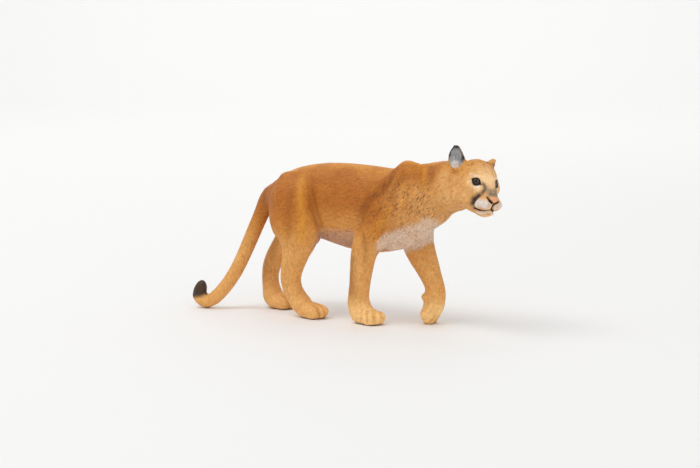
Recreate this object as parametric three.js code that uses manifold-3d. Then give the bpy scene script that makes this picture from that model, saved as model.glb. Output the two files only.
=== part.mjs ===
// A small moulded plastic cougar that walks with its head turned a little to its right and its tail
// down to the ground. Millimetres, +X towards the nose, +Y to the animal's left, +Z up, soles at z = 0.
// Each sub-part is a solid of its own, with a thin parting gap to its neighbours.
import * as THREE from "three";
import { mergeVertices } from "three/addons/utils/BufferGeometryUtils.js";
import Module from "manifold-3d";

const wasm = await Module();
wasm.setup();

// Driving dimensions
const GAP = 0.3; // parting gap between neighbours
const LEG_SIDES = 14; // faces round a leg, and round the other forms below
const TRUNK_SIDES = 24;
const TAIL_SIDES = 12;
const HEAD_SIDES = 18;
const SMALL_SIDES = 12;
const TOE_SIDES = 10;
const LATERAL = new THREE.Vector3(0, 1, 0);

// Where the trunk passes, from rump to breast. over and under are its reach above and below the line.
const TRUNK = [
  { name: "rump", at: [-44.0, 0, 43.2], side: 5.0, over: 5.0, under: 6.5 },
  { name: "croup", at: [-39.5, 0, 42.8], side: 8.0, over: 8.4, under: 10.0 },
  { name: "hips", at: [-33, 0, 42.5], side: 9.2, over: 11.2, under: 13.0 },
  { name: "loin", at: [-22, 0, 42.5], side: 9.2, over: 13.1, under: 14.6 },
  { name: "waist", at: [-11, 0, 42], side: 9.8, over: 13.8, under: 16.6 },
  { name: "ribs", at: [0, 0, 41.5], side: 10.4, over: 13.7, under: 16.8 },
  { name: "chest", at: [9, 0, 41.5], side: 9.9, over: 13.0, under: 15.1 },
  { name: "breast", at: [16, 0, 42], side: 8.2, over: 13.1, under: 12.6 },
];
const TRUNK_CAPS = [3.0, 6.8];

const NECK = [
  { name: "withers", at: [10, 0, 44.5], side: 7.4, over: 11.0, under: 11.5 },
  { name: "root", at: [19.6, -0.3, 46.8], side: 8.2, over: 9.9, under: 12.6 },
  { name: "middle", at: [26, -1.6, 48.9], side: 7.8, over: 9.4, under: 9.8 },
  { name: "nape", at: [33, -3.4, 50.6], side: 7.0, over: 8.4, under: 9.0 },
];
const NECK_CAPS = [3, 3];
const NECK_CUT = { at: [21.5, 0, 47.5], normal: [0.97, 0, -0.24] };

// Legs from the top down. ahead and behind are the reach forwards and backwards of the line.
const FORELEG_RIGHT = [
  { name: "scapula", at: [16.0, -4.7, 55.3], side: 2.9, ahead: 4.8, behind: 4.4 },
  { name: "blade", at: [12.4, -6.8, 49.8], side: 3.4, ahead: 6.0, behind: 6.4 },
  { name: "shoulder", at: [9.2, -8.0, 42.4], side: 3.9, ahead: 8.0, behind: 8.0 },
  { name: "arm", at: [4.0, -8.3, 34.5], side: 4.2, ahead: 7.4, behind: 7.0 },
  { name: "elbow", at: [-0.8, -8.0, 27.2], side: 4.1, ahead: 5.2, behind: 5.0 },
  { name: "forearm", at: [-2.6, -7.6, 20], side: 3.9, ahead: 4.4, behind: 4.3 },
  { name: "shin", at: [-3.8, -7.0, 13], side: 3.5, ahead: 3.9, behind: 3.9 },
  { name: "wrist", at: [-4.5, -6.5, 8], side: 3.7, ahead: 4.0, behind: 4.0 },
  { name: "pastern", at: [-3.8, -6.3, 4.2], side: 4.0, ahead: 4.8, behind: 4.0 },
];
const FORELEG_LEFT = [
  { name: "scapula", at: [9.4, 4.7, 55.0], side: 2.9, ahead: 4.2, behind: 4.2 },
  { name: "blade", at: [9.6, 6.8, 49.8], side: 3.4, ahead: 6.0, behind: 6.4 },
  { name: "shoulder", at: [11.0, 7.9, 42], side: 3.9, ahead: 7.6, behind: 8.0 },
  { name: "arm", at: [11.0, 8.0, 34], side: 4.2, ahead: 6.6, behind: 7.6 },
  { name: "elbow", at: [12.6, 7.4, 27], side: 4.2, ahead: 5.4, behind: 6.6 },
  { name: "forearm", at: [15.8, 6.8, 20.5], side: 4.0, ahead: 4.4, behind: 4.8 },
  { name: "shin", at: [18.6, 6.2, 15.2], side: 3.4, ahead: 3.6, behind: 3.7 },
  { name: "wrist", at: [19.9, 6.0, 11.2], side: 3.5, ahead: 3.6, behind: 3.5 },
  { name: "pastern", at: [18.9, 6.0, 6.6], side: 3.8, ahead: 3.9, behind: 3.5 },
];
const HINDLEG_RIGHT = [
  { name: "hip", at: [-34.6, -5.0, 50.0], side: 3.0, ahead: 4.6, behind: 4.2 },
  { name: "haunch", at: [-33.6, -7.6, 44.4], side: 4.2, ahead: 8.8, behind: 7.6 },
  { name: "thigh", at: [-31.2, -8.7, 37], side: 4.6, ahead: 10.0, behind: 9.8 },
  { name: "knee", at: [-28.6, -8.8, 29.8], side: 4.4, ahead: 8.8, behind: 9.0 },
  { name: "calf", at: [-29.6, -8.4, 23.6], side: 4.1, ahead: 5.4, behind: 5.6 },
  { name: "shank", at: [-31.4, -8.0, 18.2], side: 3.7, ahead: 4.2, behind: 4.3 },
  { name: "hock", at: [-32.6, -7.5, 13.4], side: 3.4, ahead: 3.8, behind: 3.9 },
  { name: "cannon", at: [-31.4, -7.0, 8.6], side: 3.4, ahead: 3.6, behind: 3.5 },
  { name: "pastern", at: [-28.4, -6.5, 4.6], side: 3.9, ahead: 3.6, behind: 3.6 },
];
const HINDLEG_LEFT = [
  { name: "hip", at: [-35.6, 5.0, 49.8], side: 3.0, ahead: 4.4, behind: 4.2 },
  { name: "haunch", at: [-36.0, 7.6, 44.4], side: 4.2, ahead: 8.6, behind: 7.2 },
  { name: "thigh", at: [-37.5, 8.6, 37], side: 4.6, ahead: 9.6, behind: 8.4 },
  { name: "knee", at: [-40.6, 8.4, 30.2], side: 4.4, ahead: 8.0, behind: 6.8 },
  { name: "calf", at: [-45.2, 7.6, 24], side: 4.0, ahead: 5.2, behind: 4.8 },
  { name: "shank", at: [-48.8, 6.8, 19], side: 3.5, ahead: 3.9, behind: 3.9 },
  { name: "hock", at: [-50.6, 6.2, 14.4], side: 3.2, ahead: 3.3, behind: 3.4 },
  { name: "cannon", at: [-50.4, 5.6, 9], side: 3.2, ahead: 3.0, behind: 3.1 },
  { name: "pastern", at: [-49.4, 5.4, 4.6], side: 3.7, ahead: 4.2, behind: 3.6 },
];
const LEG_CAPS = [2.4, 4.4];

// Where each leg is parted: above its elbow or knee, and at its wrist or ankle
const LEG_CUTS = {
  foreleg_right: {
    upper: { at: [-0.6, -8, 27.2], normal: [0.2, 0, 0.98] },
    lower: { at: [-4, -7, 8.6], normal: [0, 0, 1] },
  },
  foreleg_left: {
    upper: { at: [12.6, 7.4, 27.6], normal: [-0.3, 0, 0.95] },
    lower: { at: [19.6, 6, 12.4], normal: [0, 0, 1] },
  },
  hindleg_right: {
    upper: { at: [-29.5, -9, 26.6], normal: [0.1, 0, 1] },
    lower: { at: [-30, -7, 6.8], normal: [-0.6, 0, 0.8] },
  },
  hindleg_left: {
    upper: { at: [-43, 8.5, 27.2], normal: [0.5, 0, 0.87] },
    lower: { at: [-50, 5.6, 6.6], normal: [0, 0, 1] },
  },
};

const TAIL = [
  { name: "root", at: [-41.0, 0, 45.6], side: 3.7, over: 3.7, under: 3.7 },
  { name: "dock", at: [-46.1, 0, 43.1], side: 3.5, over: 3.5, under: 3.5 },
  { name: "upper", at: [-49.6, 0, 37.2], side: 3.0, over: 3.0, under: 3.0 },
  { name: "drop", at: [-52.4, -0.4, 31.4], side: 2.8, over: 2.8, under: 2.8 },
  { name: "middle", at: [-55.6, -2.2, 22.8], side: 2.7, over: 2.7, under: 2.7 },
  { name: "lower", at: [-58.8, -5.2, 13.8], side: 2.6, over: 2.6, under: 2.6 },
  { name: "sweep", at: [-63.8, -7.6, 6.2], side: 2.55, over: 2.55, under: 2.55 },
  { name: "rest", at: [-69.0, -9.0, 2.25], side: 2.5, over: 2.5, under: 2.5 },
  { name: "turn", at: [-72.6, -9.4, 4.6], side: 2.7, over: 2.7, under: 2.7 },
  { name: "tip", at: [-71.2, -9.3, 8.2], side: 2.3, over: 2.3, under: 2.3 },
];
const TAIL_CAPS = [1.5, 2.4];
const TAIL_CUTS = [
  { at: [-51.2, 0, 34.5], normal: [0.4, 0, 0.92] },
  { at: [-57, -3.4, 18.6], normal: [0.33, 0.3, 0.9] },
  { at: [-68.4, -8.8, 2.4], normal: [0.96, 0.22, 0.2] },
];

// The head's own frame: origin midway between the eyes, +X out of the face, +Z up.
const HEAD_AT = [45.5, -6.4, 52.0];
const HEAD_TURN = { yaw: -34, pitch: 6, roll: -8 }; // degrees: right, nose down, left side down
const CRANIUM = { at: [-6.6, 0, -0.4], reach: [7.8, 6.9, 7.4] };
const TEMPLE = { at: [-3.2, 3.7, -1.6], reach: [4.4, 2.9, 4.2] };
const JOWL = { at: [-5.0, 3.4, -5.4], reach: [5.4, 3.9, 4.4] };
const FACE = [
  { name: "skull", at: [-6, 0, -2.0], side: 6.2, over: 8.0, under: 7.0 },
  { name: "brow", at: [-1.0, 0, -2.6], side: 4.7, over: 5.9, under: 6.0 },
  { name: "bridge", at: [3.2, 0, -4.2], side: 3.1, over: 4.0, under: 4.0 },
  { name: "snout", at: [6.4, 0, -5.0], side: 2.3, over: 2.2, under: 2.6 },
];
const FACE_CAPS = [2, 1.4];
const WHISKER_PAD = { at: [4.9, 1.75, -6.1], reach: [3.0, 2.2, 2.3] };
const JAW = [
  { name: "hinge", at: [-4.6, 0, -8.4], side: 4.4, over: 2.4, under: 2.2 },
  { name: "middle", at: [0.6, 0, -8.6], side: 3.4, over: 2.2, under: 2.2 },
  { name: "chin", at: [4.4, 0, -8.9], side: 2.3, over: 1.8, under: 1.7 },
];
const JAW_CAPS = [2, 1.6];
const NOSE = { at: [7.2, 0, -3.9], reach: [1.2, 1.7, 1.1] };
const EYE = { at: [-0.9, 3.5, 0.1], reach: [1.7, 1.7, 1.7] };

// Each ear's frame: origin at its foot, +Z up the ear, +X out of its cup
const EAR = [
  { name: "tip", at: [-0.3, 0, 5.2], side: 1.7, ahead: 0.5, behind: 0.5 },
  { name: "fold", at: [0, 0, 3.4], side: 2.9, ahead: 0.9, behind: 0.8 },
  { name: "middle", at: [0, 0, 1.0], side: 3.5, ahead: 1.4, behind: 1.2 },
  { name: "foot", at: [0, 0, -1.6], side: 3.5, ahead: 1.7, behind: 1.6 },
];
const EAR_CAPS = [0.9, 0.8];
const EAR_CUP = [
  { name: "tip", at: [0.6, 0, 4.5], side: 0.9, ahead: 0.9, behind: 0.6 },
  { name: "middle", at: [1.2, 0, 2.2], side: 2.1, ahead: 1.2, behind: 1.3 },
  { name: "foot", at: [1.6, 0, -0.4], side: 2.4, ahead: 1.2, behind: 1.6 },
];
const EAR_CUP_CAPS = [0.6, 0.6];
const EAR_PLACES = {
  right: { at: [-9.2, -7.1, 4.6], out: -62, lean: 16 },
  left: { at: [-8.0, 2.3, 3.2], out: 88, lean: 48 },
}; // degrees: out turns the cup aside, lean tips the ear outwards

// Paws, in a frame at each paw: origin under its middle, +X towards its toes
const TOE_REACH = [2.7, 1.6, 2.3];
const TOE_PLACES = [
  { ahead: 3.2, across: -2.75, up: 1.9 },
  { ahead: 4.7, across: -0.95, up: 2.2 },
  { ahead: 4.7, across: 0.95, up: 2.2 },
  { ahead: 3.2, across: 2.75, up: 1.9 },
];
const PALM = { at: [0.6, 0, 2.5], reach: [5.2, 4.2, 3.3] };
const DEWCLAW_REACH = [1.4, 1.3, 1.6];
const PAWS = {
  foreleg_right: { at: [-1.4, -6.1, 0], turn: -6, tip: 0, dewclaw: [-4.6, -3.2, 8.0] },
  foreleg_left: { at: [16.4, 6.0, 7.25], turn: 0, tip: 104, dewclaw: [16.6, 4.6, 9.6] },
  hindleg_right: { at: [-25.4, -6.2, 0], turn: -4, tip: 0, dewclaw: null },
  hindleg_left: { at: [-46.6, 5.0, 0], turn: 4, tip: 0, dewclaw: null },
};

const solidOf = (geometry) => {
  const bare = geometry.clone();
  bare.deleteAttribute("normal");
  bare.deleteAttribute("uv");
  const merged = mergeVertices(bare, 1e-4);
  return new wasm.Manifold(
    new wasm.Mesh({
      numProp: 3,
      vertProperties: new Float32Array(merged.attributes.position.array),
      triVerts: new Uint32Array(merged.index.array),
    }),
  );
};

const geometryOf = (solid) => {
  const { vertProperties, triVerts } = solid.getMesh();
  const geometry = new THREE.BufferGeometry();
  geometry.setAttribute("position", new THREE.BufferAttribute(vertProperties, 3));
  geometry.setIndex(new THREE.BufferAttribute(triVerts, 1));
  geometry.computeVertexNormals();
  return geometry;
};

const joined = (solids) => solids.reduce((whole, solid) => whole.add(solid));
const without = (solid, others) => others.reduce((rest, other) => rest.subtract(other), solid);

// The largest closed surface of a solid, so that a cut leaves no scrap behind
const largest = (solid) =>
  solid.decompose().reduce((best, piece) => (piece.volume() > best.volume() ? piece : best));

// A closed body swept along a line of stations, with a rounded cap past each end: a sphere whose rows of
// vertices become rings round the line. grow swells it evenly.
function loft(stations, caps, { sides, rowsPerSpan = 2, capRows = 3, grow = 0 }) {
  const spans = stations.length - 1;
  const line = new THREE.CatmullRomCurve3(
    stations.map((s) => new THREE.Vector3(...s.at)),
    false,
    "centripetal",
  );
  const reach = new THREE.CatmullRomCurve3(
    stations.map((s) => new THREE.Vector3(s.side, s.over ?? s.ahead, s.under ?? s.behind)),
    false,
    "catmullrom",
    0.5,
  );
  const bodyRows = spans * rowsPerSpan;
  const rows = bodyRows + 2 * capRows;
  const geometry = new THREE.SphereGeometry(1, sides, rows);
  const position = geometry.attributes.position;
  for (let row = 0; row <= rows; row++) {
    const t = THREE.MathUtils.clamp((row - capRows) / bodyRows, 0, 1);
    const beyond = Math.max(capRows - row, row - capRows - bodyRows, 0) / capRows;
    const swell = Math.cos((beyond * Math.PI) / 2);
    const cap = (row < capRows ? -caps[0] - grow : caps[1] + grow) * Math.sin((beyond * Math.PI) / 2);
    const along = line.getTangent(t);
    const up = along.clone().cross(LATERAL).normalize();
    const side = up.clone().cross(along).normalize();
    const middle = line.getPoint(t).addScaledVector(along, cap);
    const size = reach.getPoint(t).addScalar(grow).multiplyScalar(swell);
    for (let column = 0; column <= sides; column++) {
      const angle = ((column % sides) / sides) * 2 * Math.PI;
      const height = -Math.sin(angle);
      const point = middle
        .clone()
        .addScaledVector(side, Math.cos(angle) * size.x)
        .addScaledVector(up, height * (height > 0 ? size.y : size.z));
      position.setXYZ(row * (sides + 1) + column, point.x, point.y, point.z);
    }
  }
  return solidOf(geometry);
}

// An egg-shaped form with its own reach along X, Y and Z
function egg({ at, reach }, { sides = HEAD_SIDES, grow = 0, turn = null } = {}) {
  const geometry = new THREE.SphereGeometry(1, sides, Math.round(sides / 2) + 1);
  geometry.scale(reach[0] + grow, reach[1] + grow, reach[2] + grow);
  if (turn) geometry.applyMatrix4(turn);
  geometry.translate(...at);
  return solidOf(geometry);
}

const mirrored = ({ at, ...rest }, side) => ({ ...rest, at: [at[0], at[1] * side, at[2]] });

// Cuts a solid in two by a plane, with the parting gap between: [the side the normal points to, the other]
function parted(solid, { at, normal }) {
  const n = new THREE.Vector3(...normal).normalize();
  const offset = n.dot(new THREE.Vector3(...at));
  const back = n.clone().negate();
  return [
    solid.trimByPlane(n.toArray(), offset + GAP / 2),
    solid.trimByPlane(back.toArray(), -offset + GAP / 2),
  ];
}

const legLoft = (stations, grow = 0) => loft(stations, LEG_CAPS, { sides: LEG_SIDES, grow });
const tailLoft = (grow = 0) => loft(TAIL, TAIL_CAPS, { sides: TAIL_SIDES, grow });
const onFloor = (solid) => solid.trimByPlane([0, 0, 1], 0);
const radians = THREE.MathUtils.degToRad;

// A leg with its paw, standing on the floor
function legOf(name, stations) {
  const { at, turn, tip, dewclaw } = PAWS[name];
  const frame = new THREE.Matrix4()
    .makeTranslation(...at)
    .multiply(new THREE.Matrix4().makeRotationZ(radians(turn)))
    .multiply(new THREE.Matrix4().makeRotationY(radians(tip)));
  const placed = (form) => {
    const place = new THREE.Vector3(...form.at).applyMatrix4(frame);
    const spin = new THREE.Matrix4().extractRotation(frame);
    return egg({ at: place.toArray(), reach: form.reach }, { sides: TOE_SIDES, turn: spin });
  };
  const toes = TOE_PLACES.map(({ ahead, across, up }) =>
    placed({ at: [ahead, across, up], reach: TOE_REACH }),
  );
  const pieces = [legLoft(stations), placed(PALM), ...toes];
  if (dewclaw) pieces.push(egg({ at: dewclaw, reach: DEWCLAW_REACH }, { sides: SMALL_SIDES }));
  return onFloor(joined(pieces));
}

const LEGS = {
  foreleg_right: FORELEG_RIGHT,
  foreleg_left: FORELEG_LEFT,
  hindleg_right: HINDLEG_RIGHT,
  hindleg_left: HINDLEG_LEFT,
};

const headFrame = new THREE.Matrix4()
  .makeTranslation(...HEAD_AT)
  .multiply(new THREE.Matrix4().makeRotationZ(radians(HEAD_TURN.yaw)))
  .multiply(new THREE.Matrix4().makeRotationY(radians(HEAD_TURN.pitch)))
  .multiply(new THREE.Matrix4().makeRotationX(radians(HEAD_TURN.roll)));
const toBody = (solid) => solid.transform(headFrame.elements);

function skullOf(grow = 0) {
  const pairs = [TEMPLE, JOWL, WHISKER_PAD].flatMap((form) => [mirrored(form, 1), mirrored(form, -1)]);
  return joined([
    egg(CRANIUM, { grow }),
    ...pairs.map((form) => egg(form, { grow, sides: SMALL_SIDES })),
    loft(FACE, FACE_CAPS, { sides: HEAD_SIDES, grow }),
  ]);
}

const jawOf = (grow = 0) => loft(JAW, JAW_CAPS, { sides: SMALL_SIDES, grow });
const eyeOf = (side, grow = 0) => egg(mirrored(EYE, side), { sides: SMALL_SIDES, grow });
const noseOf = (grow = 0) => egg(NOSE, { sides: SMALL_SIDES, grow });

// An ear's outer form in the head's frame, and the same with its cup hollowed out
function earPlace(name) {
  const { at, out, lean } = EAR_PLACES[name];
  return new THREE.Matrix4()
    .makeTranslation(...at)
    .multiply(new THREE.Matrix4().makeRotationX(radians(name === "left" ? -lean : lean)))
    .multiply(new THREE.Matrix4().makeRotationZ(radians(out)));
}
const earForm = (name, grow = 0) =>
  loft(EAR, EAR_CAPS, { sides: SMALL_SIDES, grow }).transform(earPlace(name).elements);
const earCup = (name) =>
  loft(EAR_CUP, EAR_CUP_CAPS, { sides: SMALL_SIDES }).transform(earPlace(name).elements);
const earOf = (name) => earForm(name).subtract(earCup(name));

const painted = (color, roughness = 0.6) => new THREE.MeshStandardMaterial({ color, roughness });
const materials = {
  coat: painted(0xc98d4a),
  muzzle: painted(0xe2d3c6),
  nose: painted(0xe9a27c),
  eye: painted(0x17100c, 0.2),
  ear: painted(0x8b8f96),
  tailTip: painted(0x4a423d),
};

const figure = new THREE.Group();
function addNode(name, solid, material) {
  const mesh = new THREE.Mesh(geometryOf(largest(solid)), material);
  mesh.name = name;
  figure.add(mesh);
}

// Trunk and neck are one form, cut back from the legs and tail that sink into it and parted at the neck
const trunk = loft(TRUNK, TRUNK_CAPS, { sides: TRUNK_SIDES });
const neckForm = loft(NECK, NECK_CAPS, { sides: TRUNK_SIDES });
const limbs = [...Object.values(LEGS).map((stations) => legLoft(stations, GAP)), tailLoft(GAP)];
const [neck, torso] = parted(without(trunk.add(neckForm), limbs), NECK_CUT);
const ears = ["left", "right"].map((name) => earForm(name, GAP));
const grownHead = toBody(joined([skullOf(GAP), jawOf(GAP), ...ears]));
addNode("torso", torso, materials.coat);
addNode("neck", neck.subtract(grownHead), materials.coat);

const head = without(skullOf(), [jawOf(GAP), eyeOf(1, GAP), eyeOf(-1, GAP), noseOf(GAP)]);
addNode("head", toBody(head), materials.coat);
addNode("jaw", toBody(jawOf()), materials.muzzle);
addNode("nose", toBody(noseOf()), materials.nose);
const sides = { left: 1, right: -1 };
for (const [name, side] of Object.entries(sides)) {
  addNode(`eye_${name}`, toBody(eyeOf(side)), materials.eye);
  addNode(`ear_${name}`, toBody(earOf(name).subtract(skullOf(GAP))), materials.ear);
}

for (const [name, stations] of Object.entries(LEGS)) {
  const fore = name.startsWith("fore");
  const [upper, rest] = parted(legOf(name, stations), LEG_CUTS[name].upper);
  const [lower, paw] = parted(rest, LEG_CUTS[name].lower);
  const side = name.split("_")[1];
  addNode(`${fore ? "upper_arm" : "thigh"}_${side}`, upper, materials.coat);
  addNode(`${fore ? "forearm" : "shank"}_${side}`, lower, materials.coat);
  addNode(`${fore ? "front" : "hind"}_paw_${side}`, paw, materials.coat);
}

const [tailRoot, belowRoot] = parted(onFloor(tailLoft()), TAIL_CUTS[0]);
const [tailMiddle, belowMiddle] = parted(belowRoot, TAIL_CUTS[1]);
const [tailLower, tailTip] = parted(belowMiddle, TAIL_CUTS[2]);
addNode("tail_root", tailRoot, materials.coat);
addNode("tail_middle", tailMiddle, materials.coat);
addNode("tail_lower", tailLower, materials.coat);
addNode("tail_tip", tailTip, materials.tailTip);

// The finished figure stands with the middle of its length and width over the origin, soles on z = 0
const extent = new THREE.Box3().setFromObject(figure);
const middle = extent.getCenter(new THREE.Vector3());
figure.position.set(-middle.x, -middle.y, -extent.min.z);

const cougar = new THREE.Group();
cougar.add(figure);
export default cougar;
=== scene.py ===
"""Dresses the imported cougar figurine: one painted moulding with glossy painted eyes, on a pale floor."""

import logging
import math
from dataclasses import dataclass, field, replace
from enum import Enum

import bpy
import numpy as np
from mathutils import Matrix, Vector, noise


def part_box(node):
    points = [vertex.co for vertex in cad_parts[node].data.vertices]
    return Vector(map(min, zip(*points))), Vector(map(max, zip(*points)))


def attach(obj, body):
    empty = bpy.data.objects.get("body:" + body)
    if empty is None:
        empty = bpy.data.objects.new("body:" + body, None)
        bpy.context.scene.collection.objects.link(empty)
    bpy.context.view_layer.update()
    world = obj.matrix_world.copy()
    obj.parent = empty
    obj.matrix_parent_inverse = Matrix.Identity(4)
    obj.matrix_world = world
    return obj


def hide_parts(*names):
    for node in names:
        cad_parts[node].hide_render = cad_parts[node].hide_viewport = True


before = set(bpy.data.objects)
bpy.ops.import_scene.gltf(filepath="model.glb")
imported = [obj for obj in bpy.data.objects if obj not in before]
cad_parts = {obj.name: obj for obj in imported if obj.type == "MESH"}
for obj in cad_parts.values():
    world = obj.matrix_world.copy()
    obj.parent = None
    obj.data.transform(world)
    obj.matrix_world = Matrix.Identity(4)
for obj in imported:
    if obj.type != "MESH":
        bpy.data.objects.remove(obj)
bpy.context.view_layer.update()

MM = 0.001
log = logging.getLogger("cougar")

Path = list[tuple[float, float, float]]
Tree = bpy.types.NodeTree
Socket = bpy.types.NodeSocket

FLESH = (
    "torso neck head jaw nose ear_left ear_right eye_left eye_right "
    "upper_arm_right forearm_right front_paw_right upper_arm_left forearm_left front_paw_left "
    "thigh_right shank_right hind_paw_right thigh_left shank_left hind_paw_left "
    "tail_root tail_middle tail_lower tail_tip"
).split()


def linear(hex_colour: str) -> np.ndarray:
    """Turns an sRGB hex colour into linear red, green and blue.

    Args:
        hex_colour: Six hex digits after a hash sign.

    Returns:
        The three linear values.
    """
    srgb = np.array([int(hex_colour[i : i + 2], 16) / 255 for i in (1, 3, 5)])
    return np.where(srgb <= 0.04045, srgb / 12.92, ((srgb + 0.055) / 1.055) ** 2.4)


def middle_of(node: str) -> np.ndarray:
    """Gives the middle of a node's box in millimetres."""
    low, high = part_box(node)
    return (np.array(low) + np.array(high)) / 2 / MM


def select_only(obj: bpy.types.Object) -> None:
    """Leaves one object selected and active.

    Args:
        obj: The object.
    """
    bpy.ops.object.select_all(action="DESELECT")
    obj.select_set(True)
    bpy.context.view_layer.objects.active = obj


def finish_modifier(obj: bpy.types.Object, kind: str, **settings: object) -> None:
    """Adds a modifier with its settings and applies it.

    Args:
        obj: The mesh object that takes it.
        kind: The modifier's type name.
        settings: Its property values.
    """
    select_only(obj)
    modifier = obj.modifiers.new(kind.title(), kind)
    for name, value in settings.items():
        setattr(modifier, name, value)
    bpy.ops.object.modifier_apply(modifier=modifier.name)


def smooth_step(low: float, high: float, value: np.ndarray) -> np.ndarray:
    """Rises smoothly from 0 at low to 1 at high, or falls where high is the smaller."""
    t = np.clip((value - low) / (high - low), 0, 1)
    return t * t * (3 - 2 * t)


def way_to_path(points: np.ndarray, path: np.ndarray) -> tuple[np.ndarray, np.ndarray]:
    """Measures how far each point lies from a path of straight lengths.

    Args:
        points: The points, one a row, in millimetres.
        path: The path's corners, one a row.

    Returns:
        Each point's distance from the path, and where along it that is, from 0 to 1.
    """
    if len(path) == 1:
        return np.linalg.norm(points - path[0], axis=1), np.zeros(len(points))
    best = np.full(len(points), np.inf)
    along = np.zeros(len(points))
    lengths = np.linalg.norm(np.diff(path, axis=0), axis=1)
    run = np.concatenate([[0], np.cumsum(lengths)]) / lengths.sum()
    for i, (a, b) in enumerate(zip(path[:-1], path[1:])):
        span = b - a
        t = np.clip((points - a) @ span / (span @ span), 0, 1)
        distance = np.linalg.norm(points - a - t[:, None] * span, axis=1)
        nearer = distance < best
        best[nearer] = distance[nearer]
        along[nearer] = (run[i] + t * (run[i + 1] - run[i]))[nearer]
    return best, along


@dataclass(frozen=True)
class Place:
    """A frame on the animal in which strokes are given: rows of axes are forward, left and up."""

    origin: np.ndarray
    axes: np.ndarray

    def out(self, points: Path) -> np.ndarray:
        """Brings points of this frame into the row frame, in millimetres."""
        return self.origin + np.array(points, float) @ self.axes

    def into(self, points: np.ndarray) -> np.ndarray:
        """Brings points of the row frame into this frame."""
        return (points - self.origin) @ self.axes.T


BODY = Place(np.zeros(3), np.eye(3))
SURFACE = Place(np.zeros(3), np.eye(3))


def head_place() -> Place:
    """Finds the head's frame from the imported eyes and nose.

    Returns:
        The frame with its origin midway between the eyes, forward out of the face.
    """
    left, right, nose = middle_of("eye_left"), middle_of("eye_right"), middle_of("nose")
    across = (left - right) / np.linalg.norm(left - right)
    to_nose = nose - (left + right) / 2
    to_nose -= to_nose @ across * across
    drop = math.radians(26.3)
    ahead, below = 0.9, 0.1
    down_nose = to_nose / np.linalg.norm(to_nose)
    square = np.cross(down_nose, across)
    forward = down_nose * math.cos(drop) + square * math.sin(drop)
    up = np.cross(forward, across)
    origin = (left + right) / 2 + ahead * forward - below * up
    return Place(origin, np.array([forward, across, up]))


HEAD = head_place()

# A left leg is swung ahead of the right one, by more and more from the first height down to the second.
SWING_FROM, SWING_TO = 56, 26
STEPS_A_LENGTH = 6

# How a mark fades: a crisp one between these shares of its width, a soft one as a bell this steep, and
# towards the ends of its path over this part of the length, down to the least share.
CRISP_FROM, CRISP_TO = 1.25, 0.7
BELL, END_PARTS, END_SHARE = 2.2, 6, 0.4


@dataclass(frozen=True)
class Stroke:
    """One pull or press of a modelling tool, or one stroke of the brush, along a path.

    Lift is in millimetres, outwards where positive. A brush takes it as how well the paint covers.
    Flat widens the middle of the mark before it fades. A crisp mark has a firm edge.
    """

    name: str
    path: Path
    width: float
    lift: float
    place: Place = BODY
    flat: float = 0.0
    crisp: bool = False
    both_sides: bool = False
    swing: float = 0.0

    def mirrored(self) -> "Stroke":
        """Makes the same stroke on the other side.

        Returns:
            The stroke, carried with that side's leg by its swing.
        """
        shares = [float(smooth_step(SWING_FROM, SWING_TO, np.array(z))) for _, _, z in self.path]
        path = [(x + self.swing * share, -y, z) for share, (x, y, z) in zip(shares, self.path)]
        return replace(self, path=path, both_sides=False)

    def on_surface(self, points: np.ndarray) -> np.ndarray:
        """Draws the path to a surface.

        Args:
            points: The surface's points in the row frame, in millimetres.

        Returns:
            The path in short steps, each at the nearest of the points and then evened out.
        """
        corners = self.place.out(self.path)
        lengths = [np.linspace(a, b, STEPS_A_LENGTH)[:-1] for a, b in zip(corners[:-1], corners[1:])]
        steps = np.concatenate([*lengths, corners[-1:]])
        near = np.array([points[np.argmin(((points - step) ** 2).sum(axis=1))] for step in steps])
        near[1:-1] = (near[:-2] + 2 * near[1:-1] + near[2:]) / 4
        return near

    def strength(self, points: np.ndarray) -> np.ndarray:
        """Weighs each point from 1 on the path to 0 away from it.

        Args:
            points: Points of the row frame in millimetres.

        Returns:
            One weight a point.
        """
        path = self.place.out(self.path) if self.place is BODY else self.on_surface(points)
        away, along = way_to_path(points, path)
        if self.crisp:
            return smooth_step(CRISP_FROM, CRISP_TO, away / self.width)
        taper = np.ones(len(points))
        if len(self.path) > 1:
            taper = np.clip(np.minimum(along, 1 - along) * END_PARTS, 0, 1) * (1 - END_SHARE) + END_SHARE
        reach = np.maximum(away - self.flat, 0) / self.width
        return np.exp(-(reach**2) * BELL) * taper


def sided(strokes: list[Stroke]) -> list[Stroke]:
    """Lists the strokes with the mirrored ones of those made on both sides."""
    pairs = [[one, one.mirrored()] if one.both_sides else [one] for one in strokes]
    return [one for pair in pairs for one in pair]


def paw_place(origin: tuple[float, float, float], turn: float, tip: float = 0.0) -> Place:
    """Gives a paw's frame, with its toes ahead.

    Args:
        origin: The paw's place in the row frame, in millimetres.
        turn: Degrees it is turned to the left.
        tip: Degrees its toes are tipped down.

    Returns:
        The frame.
    """
    axes = Matrix.Rotation(math.radians(turn), 3, "Z") @ Matrix.Rotation(math.radians(tip), 3, "Y")
    return Place(np.array(origin), np.array(axes.transposed()))


PAWS = {
    "front right": paw_place((10.1, -6.0, 0.0), -6),
    "hind right": paw_place((-13.9, -6.1, 0.0), -4),
    "hind left": paw_place((-35.1, 5.1, 0.0), 4),
    "front left": paw_place((27.9, 6.1, 7.25), 0, 104),
}


def trunk(name: str, width: float, lift: float, path: Path, swing: float = 0.0) -> Stroke:
    """Makes a stroke on the right of the trunk or a leg, and its fellow on the left."""
    return Stroke(name, path, width, lift, both_sides=True, swing=swing)


def face(name: str, width: float, lift: float, path: Path, **more: object) -> Stroke:
    """Makes a stroke on the right of the face, and its fellow on the left."""
    return Stroke(name, path, width, lift, place=HEAD, both_sides=True, **more)


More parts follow.
